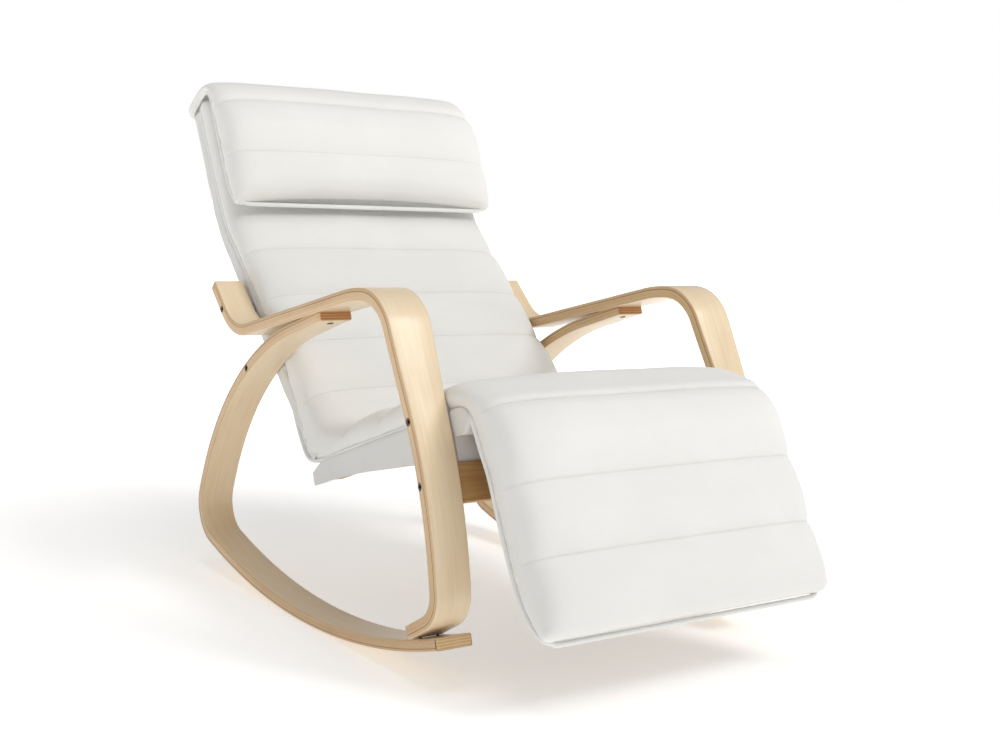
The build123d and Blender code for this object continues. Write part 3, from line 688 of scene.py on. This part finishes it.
def bag(name, ribs, quilts, step=5.0, depth=7.0, width=9.5, ends=(16, 0), seed=1.0, sag=None,
        puff=3.2, gather=2.2):
    """A stuffed, channelled bag: the object, the run of its rings and the runs of its channels."""
    (edge, under, top), top_run, half = rings_of(ribs, step)
    stitched = [top_run[np.argmin(np.linalg.norm(top - np.array(q), axis=1))] for q in quilts]
    points = []
    for i, run in enumerate(top_run):
        from_end = top_run[-1] - run
        gap = min(abs(run - q) for q in stitched)
        panel = (min([q for q in stitched if q > run] or [top_run[-1] + BEYOND])
                 - max([q for q in stitched if q <= run] or [-BEYOND]))
        close, narrow = 1.0, 0.0
        for distance, room in ((run, ends[0]), (from_end, ends[1])):
            if distance < room:
                close = min(close, (1 - (1 - distance / room) ** 2) ** 0.5)
            if distance < PLAN_CORNER:
                narrow = max(narrow, PLAN_CORNER - (distance * (2 * PLAN_CORNER - distance)) ** 0.5)
        wide = half[i] - NARROWING * narrow
        up = top[i] - under[i]
        away = up / max(np.linalg.norm(up), 1e-6)
        cusp = np.exp(-gap / width)
        crown = cos(min(gap / max(panel, 1.0), 0.5) * pi)
        for k, (fx, fh) in enumerate(RING):
            side = 1 if fx > 0 else -1
            x, lift = wide * fx, 0.0
            if k < OUTSIDE:
                low = edge[i] + (under[i] - edge[i]) * float(ease(0.0, 0.5, fh))
                on_face = float(ease(0.3, 0.85, fh))
                if fh > 0.02:
                    lift -= depth * cusp * (0.22 + 0.78 * on_face)
                lift += puff * (1 - crown) * on_face
                long_creases = lump(x * 0.004, run * 0.022, seed)
                broad = lump(x * 0.010, run * 0.009, seed + 9)
                lift += on_face * (LONG_CREASE * long_creases + BROAD_CREASE * broad)
                pull = lump(x * 0.045, seed + run * 0.004, 3.0)
                lift += pull * PULL * on_face * np.exp(-gap / PULL_REACH) * (1 - cusp)
                if 0.03 < fh < 0.9:
                    fold = lump(run * 0.055, seed + (7 if fx > 0 else 2), fh * 1.5)
                    x += side * gather * fold * (1 - fh) * (0.3 + 0.7 * np.exp(-gap / FOLD_REACH))
            else:
                low = under[i] + (edge[i] - under[i]) * float(ease(0.93, 1.0, abs(fx)))
            height = fh * (FLAT_END + (1 - FLAT_END) * close)
            y, z = low + (top[i] - low) * height + away * lift * close
            if sag is not None:
                y, z = sag(x, y, z, run)
            points.append(at(x, y, z))
    made = new_object(name, points, tube_faces(len(top_run), len(RING)), [CLOTH], sharp=70)
    return made, top_run, stitched


# %% [markdown]
# The ribs start behind the head, run down the back, turn through the seat's rear corner,
# cross the seat, and hang over the footrest to its end, where the cushion closes to a thin edge.

# %% Ribs of the long cushion
def rib(edge, under, top, half):
    """Seam, underside and crown, as side view points or as a line's name, s and n; and the half width."""
    return [on(*p) if isinstance(p[0], str) else p for p in (edge, under, top)] + [half]


def ribs_on(line, *rows):
    """Ribs on one line: s and n of the seam, of the underside and of the crown, then the half width."""
    return [rib((line, *r[:2]), (line, *r[2:4]), (line, *r[4:6]), r[6]) for r in rows]


BACK_UNDER, SEAT_UNDER = 14.6, 20.6
CUSHION = (
    ribs_on("head",
        (247, 16, 247, 16, 247, 54, 265), (225, 14.6, 225, BACK_UNDER, 225, 61, 265),
        (150, 14.6, 150, BACK_UNDER, 150, 62, 265), (64, 14.6, 64, BACK_UNDER, 60, 63, 264))
    + ribs_on("low",
        (508, 17.2, 508, 17.2, 512, 67, 263), (430, 14.6, 430, BACK_UNDER, 430, 69, 262),
        (340, 14.6, 340, BACK_UNDER, 340, 70, 262), (250, 14.6, 250, BACK_UNDER, 250, 70, 262),
        (185, 13.5, 180, BACK_UNDER, 180, 71, 262))
    + [
        rib((209, 330), ("low", 110, BACK_UNDER), ("low", 120, 72), 263),
        rib((184, 286), ("low", 55, BACK_UNDER), ("low", 78, 70), 264),
        rib((152, 252), ("low", 5, BACK_UNDER), (86, 321.5), 264),
        rib((118, 253.5), ("seat", 385, SEAT_UNDER), ("seat", 335, 68), 263)]
    + ribs_on("seat",
        (340, 20, 330, SEAT_UNDER, 285, 69, 262), (235, 20, 235, SEAT_UNDER, 205, 69, 261),
        (130, 20, 130, SEAT_UNDER, 115, 66, 260), (55, 20, 55, SEAT_UNDER, 50, 63, 260))
    + [
        rib(("seat", 18, 19), ("seat", 18, SEAT_UNDER), (-285, 409), 260),
        rib((-301, 363), (-297, 369), ("foot", -24, 64), 260),
        rib((-316, 345), ("foot", 12, 28), ("foot", 0, 94), 261)]
    + ribs_on("foot",
        (50, 25, 45, 28.2, 34, 108, 262), (92, 30, 90, 28.2, 86, 111, 263),
        (150, 29, 150, 28.2, 150, 111, 264), (215, 28, 215, 28.2, 215, 110, 264),
        (262, 30, 262, 30, 265, 109, 264), (300, 41, 298, 42, 302, 103, 264),
        (322, 54, 320, 55, 323, 90, 264), (332, 61, 331, 63, 331, 74, 264))
)
QUILTS = [on(*place) for place in (
    ("low", 410, 69), ("low", 300, 70), ("low", 200, 71), ("low", 93, 71), ("seat", 300, 69),
    ("seat", 200, 69), ("seat", 100, 66), ("foot", 3, 92), ("foot", 119, 111), ("foot", 226, 110))]
cushion, cushion_run, cushion_channels = bag("long_cushion", CUSHION, QUILTS, seed=1.7)
print("cushion:", len(cushion.data.polygons), "faces, about",
      round(cushion_run[-1]), "mm along the top")

# %% [markdown]
# The head pillow is the same bag, folded forward over the top of the back and left open underneath,
# so its lower edge hangs free in front of the back and drops a little towards its corners.

# %% Head pillow
PILLOW = ribs_on("head",
    (20, 86, 20.5, 84, 21.5, 93, 267), (25, 78, 27, 77, 25, 104, 267),
    (38, 70, 40, 69, 37, 118, 267), (64, 65.5, 64, 65.4, 62, 129, 268),
    (96, 65, 96, 65, 96, 135, 268), (140, 65, 140, 65, 140, 136, 268),
    (180, 65, 178, 65, 184, 130, 268), (210, 65, 207, 65, 220, 116, 267),
    (236, 62, 232, 64, 249, 93, 266), (252, 52, 251, 54, 266, 67, 265),
    (254, 32, 253, 32, 273, 39, 265), (250, 11, 249, 11, 271, 8, 266),
    (244, -10, 243, -10, 264, -15, 268), (239, -26, 239, -25, 256, -31, 268))
HEAD_WAY = LINES["head"][1]


def corners_drop(x, y, z, run):
    """The pillow's free edge hangs lower towards its two corners."""
    drop = (15.0 * abs(x / 262) ** 2.4 - 4.0) * (1 - float(ease(0, 95, run)))
    return y - HEAD_WAY[0] * drop, z - HEAD_WAY[1] * drop


PILLOW_QUILTS = [on("head", 98, 135), on("head", 205, 121)]
pillow, pillow_run, pillow_channels = bag("head_pillow", PILLOW, PILLOW_QUILTS, ends=(14, 10), seed=5.3,
                                          sag=corners_drop, depth=6.0, gather=3.2)
print("pillow:", len(pillow.data.polygons), "faces")

# %% [markdown]
# ## Piping and stitches
# A cord wrapped in cloth is sewn into every seam. It follows the seam, which is what
# Geometry Nodes are good at: one tree turns a line into a round cord, and a second sets a stitch
# at every few millimetres of a line. Each tree ends by realizing its copies and naming the finish.


# %% Two node trees
def node_group(name, sizes):
    tree = bpy.data.node_groups.new(name, "GeometryNodeTree")
    tree.interface.new_socket("Geometry", in_out="INPUT", socket_type="NodeSocketGeometry")
    for label, value in sizes.items():
        socket = tree.interface.new_socket(label, in_out="INPUT", socket_type="NodeSocketFloat")
        socket.default_value = value
    tree.interface.new_socket("Geometry", in_out="OUTPUT", socket_type="NodeSocketGeometry")
    return tree, tree.nodes.new("NodeGroupInput"), tree.nodes.new("NodeGroupOutput")


def wire(tree, *pairs):
    for output, entry in pairs:
        tree.links.new(output, entry)


def finish_tree(tree, last, end, finish):
    realize = tree.nodes.new("GeometryNodeRealizeInstances")
    paint = tree.nodes.new("GeometryNodeSetMaterial")
    smooth = tree.nodes.new("GeometryNodeSetShadeSmooth")
    paint.inputs["Material"].default_value = finish
    wire(tree, (last, realize.inputs[0]), (realize.outputs[0], smooth.inputs[0]),
         (smooth.outputs[0], paint.inputs[0]), (paint.outputs[0], end.inputs[0]))


def piping_tree(finish):
    tree, start, end = node_group("piping", {"Radius": 0.003, "Step": 0.005})
    even = tree.nodes.new("GeometryNodeResampleCurve")
    even.mode = "LENGTH"
    ring = tree.nodes.new("GeometryNodeCurvePrimitiveCircle")
    ring.inputs["Resolution"].default_value = 10
    sweep = tree.nodes.new("GeometryNodeCurveToMesh")
    sweep.inputs["Fill Caps"].default_value = True
    wire(tree, (start.outputs["Geometry"], even.inputs["Curve"]),
         (start.outputs["Step"], even.inputs["Length"]),
         (start.outputs["Radius"], ring.inputs["Radius"]), (even.outputs[0], sweep.inputs["Curve"]),
         (ring.outputs[0], sweep.inputs["Profile Curve"]))
    finish_tree(tree, sweep.outputs[0], end, finish)
    return tree


def stitch_tree(finish):
    tree, start, end = node_group("stitches", {"Pitch": 0.0045, "Length": 0.003, "Thickness": 0.00045})
    even = tree.nodes.new("GeometryNodeCurveToPoints")
    even.mode = "LENGTH"
    stitch = tree.nodes.new("GeometryNodeMeshCylinder")
    stitch.inputs["Vertices"].default_value = 5
    place = tree.nodes.new("GeometryNodeInstanceOnPoints")
    wire(tree, (start.outputs["Geometry"], even.inputs["Curve"]),
         (start.outputs["Pitch"], even.inputs["Length"]),
         (start.outputs["Thickness"], stitch.inputs["Radius"]),
         (start.outputs["Length"], stitch.inputs["Depth"]),
         (even.outputs["Points"], place.inputs["Points"]),
         (stitch.outputs["Mesh"], place.inputs["Instance"]))
    align = tree.nodes.new("FunctionNodeAlignRotationToVector")
    align.axis = "Z"
    wire(tree, (even.outputs["Tangent"], align.inputs["Vector"]),
         (align.outputs[0], place.inputs["Rotation"]))
    finish_tree(tree, place.outputs["Instances"], end, finish)
    return tree


PIPING = piping_tree(WELT)
STITCHES = stitch_tree(THREAD)


def follow(name, lines, tree, closed=False, **sizes):
    """Runs a tree along lines of row frame points and returns the plain mesh."""
    data = bpy.data.curves.new(name, "CURVE")
    data.dimensions = "3D"
    for points in lines:
        spline = data.splines.new("POLY")
        spline.points.add(len(points) - 1)
        for point, place in zip(spline.points, points):
            point.co = (*place, 1.0)
        spline.use_cyclic_u = closed
    line = bpy.data.objects.new(name + "_line", data)
    bpy.context.scene.collection.objects.link(line)
    modifier = line.modifiers.new("made", "NODES")
    modifier.node_group = tree
    named = {item.name: item.identifier for item in tree.interface.items_tree if item.in_out == "INPUT"}
    for label, value in sizes.items():
        modifier[named[label]] = value
    bpy.context.view_layer.update()
    depsgraph = bpy.context.evaluated_depsgraph_get()
    mesh = bpy.data.meshes.new_from_object(line.evaluated_get(depsgraph))
    bpy.data.objects.remove(line)
    made = bpy.data.objects.new(name, mesh)
    mesh.name = name
    bpy.context.scene.collection.objects.link(made)
    return made


# %% [markdown]
# The seam lines are read back from the finished bags, so the piping follows the seam. It is pushed
# out by about twice its own radius, to the face of the side, so that it stands proud there.

# %% Piping
def seam_loop(thing, count, out):
    """The two long sides of a bag's seam, moved outwards: first at +X, then at -X."""
    co = [v.co for v in thing.data.vertices]
    aside = Vector((out, 0, 0))
    size = len(RING)
    one = [co[i * size] + aside for i in range(count)]
    two = [co[i * size + OUTSIDE - 1] - aside for i in range(count)]
    return one, two


def round_end(a, b, way, out, count=40):
    """Points from a across to b, along the end of the bag."""
    return [a.lerp(b, t) + way * out for t in np.linspace(0.012, 0.988, count)]


def loop_round(thing, count, out, last_push, first_push):
    """The whole seam as one closed line. A push is a direction and how far the end moves along it."""
    one, two = seam_loop(thing, count, out)
    return (one + round_end(one[-1], two[-1], *last_push)
            + two[::-1] + round_end(two[0], one[0], *first_push))


CORD_R, CORD_STEP = 0.0039, 0.006
foot_way = turned(0, *LINES["foot"][1])
head_way = turned(0, *LINES["head"][1])
STILL = Vector((0, 0, 0))
loop = loop_round(cushion, len(cushion_run), 0.0082, (foot_way, 0.0042), (head_way, 0.001))
cushion_piping = follow("cushion_piping", [loop], PIPING, closed=True, Radius=CORD_R, Step=CORD_STEP)
loop = loop_round(pillow, len(pillow_run), 0.0078, (STILL, 0), (-head_way, 0.003))
pillow_piping = follow("pillow_piping", [loop], PIPING, closed=True, Radius=CORD_R, Step=CORD_STEP)
print("piping:", len(cushion_piping.data.polygons) + len(pillow_piping.data.polygons), "faces")

# %% [markdown]
# Each channel is a row of stitches in the bottom of its valley. The valley's points are read from
# the bag's rings at the stitched places, and lifted a little so that the threads show.


# %% Stitches
SIDE_POINTS = 5         # points at each side of the ring that carry no stitches
THREAD_LIFT = 0.0002


def valley_lines(thing, runs, channels):
    """The bottom of each channel, across the bag's face."""
    rows = []
    for place in channels:
        start = int(np.argmin(np.abs(runs - place))) * len(RING)
        picked = [thing.data.vertices[k] for k in range(start + SIDE_POINTS, start + OUTSIDE - SIDE_POINTS)]
        rows.append([v.co + v.normal * THREAD_LIFT for v in picked])
    return rows


cushion_valleys = valley_lines(cushion, cushion_run, cushion_channels)
pillow_valleys = valley_lines(pillow, pillow_run, pillow_channels)
cushion_stitches = follow("cushion_stitches", cushion_valleys, STITCHES)
pillow_stitches = follow("pillow_stitches", pillow_valleys, STITCHES)
print("stitches:", (len(cushion_stitches.data.polygons) + len(pillow_stitches.data.polygons)) // 7)

# %% [markdown]
# The long cushion crosses the footrest hinge, but it and its piping and stitches are not bent there:
# their placement is only baked into their meshes. The head pillow and its piping and stitches follow
# the frame.

# %% The cushion pieces stay where they are; the pillow pieces follow the frame
seat_way = turned(0, -LINES["seat"][1][0], -LINES["seat"][1][1])
hinge = at(0, *PIVOT)
for piece in (cushion, cushion_piping, cushion_stitches):
    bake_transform(piece)
for piece in (pillow, pillow_piping, pillow_stitches):
    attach(piece, "frame")
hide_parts("seat_pad", "back_pad", "footrest_pad")
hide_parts("headrest_flap")

# %% [markdown]
# ## Canvas sleeves
# A canvas sleeve is stretched over each frame, and its skirts hang down over the rails. It is a
# single sheet, so it is modelled as one surface and given its thickness by a Solidify modifier.
# The skirt's depth changes along the seat: it is deep at the front and shallow at the rear.


# %% Canvas sheets
CANVAS_T = 0.0011
ROW_STEP = 9.0
SKIRT = [1.0, 0.86, 0.7, 0.52, 0.34, 0.2, 0.1]      # share of the skirt's depth, from the hem up
FLAT = [0.999, 0.9975, 0.992, 0.985] + list(np.linspace(0.96, 0, 14))      # share of the half width
FOLD_FROM, FOLD_DROP = 0.985, 2.5
HEM, HEM_IN = 0.8, 1.0      # from this share of the depth down, the hem stands in by this much


def canvas_sheet(name, points, count, size):
    """One layer of canvas, from count rows of size points."""
    faces = [(r * size + k, r * size + k + 1, (r + 1) * size + k + 1, (r + 1) * size + k)
             for r in range(count - 1) for k in range(size - 1)]
    return new_object(name, points, faces, [CANVAS], sharp=60)


def thickened(thing):
    solid = thing.modifiers.new("cloth", "SOLIDIFY")
    solid.thickness, solid.offset = CANVAS_T, 0.0
    return applied(thing)


def sleeve(name, stations, half):
    """stations: side view points (upper, lower) of the sheet's fold and of its hem, one pair per row."""
    uppers, lowers = (np.array(points, float) for points in zip(*stations))
    knots = np.concatenate([[0], np.cumsum(np.linalg.norm(np.diff(uppers, axis=0), axis=1))])
    count = int(knots[-1] / ROW_STEP) + 1
    wanted = np.linspace(0, knots[-1], count)
    upper, lower = through(knots, uppers, wanted), through(knots, lowers, wanted)
    row = [(1.0, d) for d in SKIRT] + [(a, None) for a in FLAT]
    row += [(-a, d) for a, d in row[-2::-1]]
    size = len(row)
    points = []
    for i in range(count):
        drop = lower[i] - upper[i]
        down = drop / max(np.linalg.norm(drop), 1e-6)
        for a, d in row:
            side = 1 if a > 0 else -1
            x = half * a
            if d is not None:
                y, z = upper[i] + drop * d
                ripple = lump(wanted[i] * 0.03, d * 2.0, 4.0 if a > 0 else 8.0)
                x += side * (1.1 * ripple * d + 0.2)
                if d > HEM:
                    x -= side * HEM_IN
            else:
                y, z = upper[i] + down * FOLD_DROP * max(0.0, (abs(a) - FOLD_FROM) / (1 - FOLD_FROM)) ** 2
            points.append(at(x, y, z))
    made = canvas_sheet(name, points, count, size)
    area = sum(p.area for p in made.data.polygons)
    girth = sum((points[k + 1] - points[k]).length for k in range(size - 1))
    return thickened(made), (girth, area / girth), area


def stations(line, *rows):
    """Points of the fold and the hem: s along the line, then n of each."""
    return [(on(line, s, fold), on(line, s, hem)) for s, fold, hem in rows]


seat_sleeve, seat_flat, seat_area = sleeve("seat_sleeve", stations(
    "seat", (19, 18.8, -53), (60, 18.8, -48), (150, 18.8, -38), (220, 18.8, -31), (290, 18.8, -24),
    (350, 18.8, -20.4), (402, 18.8, -19.4), (420, 15, -19.3), (446, 5, -19)), 267.2)
back_sleeve, back_flat, back_area = sleeve("back_sleeve", stations(
    "low", (-1, 13, -13.2), (30, 13, -13), (120, 13, -12.4), (240, 13, -12), (400, 13, -12),
    (462, 13, -12), (492, 14, -11), (514, 16.6, -8.4)) + stations(
    "head", (24, 14, -11), (56, 13, -12), (120, 13, -12), (234, 13, -12)), 267.6)
foot_sleeve, foot_flat, foot_area = sleeve("footrest_sleeve", stations(
    "foot", (118, 26.6, 1.6), (170, 26.6, 1.6), (230, 26.6, 1.6), (291, 26.6, 1.6)), 239.6)


def sheet_of(name, rows, body):
    """A sheet of canvas from rows of row frame points."""
    made = thickened(canvas_sheet(name, [p for row in rows for p in row], len(rows), len(rows[0])))
    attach(made, body)
    return made


# %% The sleeve's front: an apron between the rails, and a cap round each rail's nose
APRON_S, APRON_TOP, APRON_DEEP, APRON_LEAN, APRON_HALF = 17.5, 17.5, 74.0, 9, 266
rows = []
for t in np.linspace(0, 1, 15):
    y, z = on("seat", APRON_S + APRON_LEAN * t ** 2, APRON_TOP - APRON_DEEP * t)
    rows.append([at(x, y + 1.2 * lump(x * 0.02, t * 3.5, 11.0), z)
                 for x in np.linspace(-APRON_HALF, APRON_HALF, 41)])
seat_apron = sheet_of("seat_apron", rows, "frame")

NOSE_R = 19.3
NOSE_FACE = (244.2, 249, 254, 259, 264)
# Past the rail's corner: share of the step outwards, and share of the way back along the rail's side.
NOSE_OUT = 3.2
NOSE_SIDE = ((0.6, 0.01), (0.95, 0.05), (1, 0.14), (1, 0.35), (1, 0.6), (1, 0.85), (1, 1.0))
for side, name in ((1, "left"), (-1, "right")):
    rows = []
    for t in np.linspace(0, 1, 19):
        turn = pi / 2 + pi * t
        y, z = on("seat", NOSE_R * cos(turn), NOSE_R * sin(turn))
        aside = on("seat", 20, 18.8 - 37.8 * t)
        row = [at(side * x, y, z) for x in NOSE_FACE]
        for a, b in NOSE_SIDE:
            x = side * (NOSE_FACE[-1] + NOSE_OUT * a)
            row.append(at(x, y + (aside[0] - y) * b, z + (aside[1] - z) * b))
        rows.append(row)
    sheet_of("seat_nose_" + name, rows, "frame")

# %% Fasten the sleeves
for piece, node, body, flat, rail in (
        (seat_sleeve, "seat_canvas", "frame", seat_flat, "seat_rail_left"),
        (back_sleeve, "back_canvas", "frame", back_flat, "back_rail_left"),
        (foot_sleeve, "footrest_canvas", "footrest", foot_flat, "footrest_rail_left")):
    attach(piece, body)
    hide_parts(node)
print("sleeves:", [round(a, 3) for a in (seat_area, back_area, foot_area)], "square metres")

# %% [markdown]
# ## Floor, light and camera
# A pale floor that runs into a pale world gives the plain studio look. The floor also glows, which is
# painted light: dimly near the chair and fully white far from it. One wide lamp from the front and
# above makes the soft shadow; a wide, weak one overhead lightens it.


# %% Floor
def studio_floor():
    f = Finish("studio_floor")
    soft = f.noise(f.here(), 2.0, 2.0)
    f.set(Base_Color=f.mix(soft * 0.2, rgb(250, 250, 250), rgb(246, 246, 246)), Roughness=0.9)
    x, y, _ = f.split(f.here())
    # painted light: the floor glows, dimly near the chair and fully white far from it
    far = f.ramp((x * x + (y + 0.1) * (y + 0.1)) ** 0.5, 0.75, 2.4)
    f.set(Emission_Color=f.mix(far, (0.34, 0.34, 0.34, 1.0), (1.0, 1.0, 1.0, 1.0)), Emission_Strength=1.0)
    size = 30.0
    points = [(-size, -size, 0), (size, -size, 0), (size, size, 0), (-size, size, 0)]
    return new_object("floor", points, [(0, 1, 2, 3)], [f.material], recalc=False)


floor = studio_floor()

# %% Lights
world = bpy.data.worlds.new("studio")
bpy.context.scene.world = world
world.use_nodes = True
sky = world.node_tree.nodes["Background"]
sky.inputs[0].default_value = (1.0, 1.0, 1.0, 1.0)
ray = world.node_tree.nodes.new("ShaderNodeLightPath")
level = world.node_tree.nodes.new("ShaderNodeMapRange")
level.inputs["To Min"].default_value, level.inputs["To Max"].default_value = 0.42, 1.0
world.node_tree.links.new(ray.outputs["Is Camera Ray"], level.inputs["Value"])
world.node_tree.links.new(level.outputs[0], sky.inputs[1])


def lamp(name, place, aim, size, power):
    data = bpy.data.lights.new(name, "AREA")
    data.shape, data.size, data.energy = "DISK", size, power
    made = bpy.data.objects.new(name, data)
    made.location = place
    made.rotation_euler = (Vector(aim) - Vector(place)).to_track_quat("-Z", "Y").to_euler()
    bpy.context.scene.collection.objects.link(made)


lamp("key", (2.4, -3.4, 4.6), (0, -0.1, 0.4), 2.2, 118)
lamp("top", (-0.2, -0.9, 5.0), (0, 0, 0.4), 3.0, 52)

# %% [markdown]
# The camera stands in front of the sitter's right side, a little above the seat, and looks slightly
# down. It is level in the upright view, so it takes the same small roll as the chair.

# %% Camera
YAW, PITCH = 0.62851627, 0.06851375     # radians
SENSOR, LENS_RATIO = 36.0, 1.45         # width in millimetres; focal length over that width
eye = at(-1413.32, -1961.30, 555.01)
ahead = turned(sin(YAW) * cos(PITCH), cos(YAW) * cos(PITCH), -sin(PITCH))
above = turned(sin(YAW) * sin(PITCH), cos(YAW) * sin(PITCH), cos(PITCH))
across = ahead.cross(above)
facing = Matrix((across, above, -ahead)).transposed().to_4x4()
facing.translation = eye
lens = bpy.data.cameras.new("camera")
lens.sensor_width, lens.lens = SENSOR, LENS_RATIO * SENSOR
camera = bpy.data.objects.new("camera", lens)
camera.matrix_world = facing
bpy.context.scene.collection.objects.link(camera)
bpy.context.scene.camera = camera
bpy.context.scene.view_settings.view_transform = "Standard"
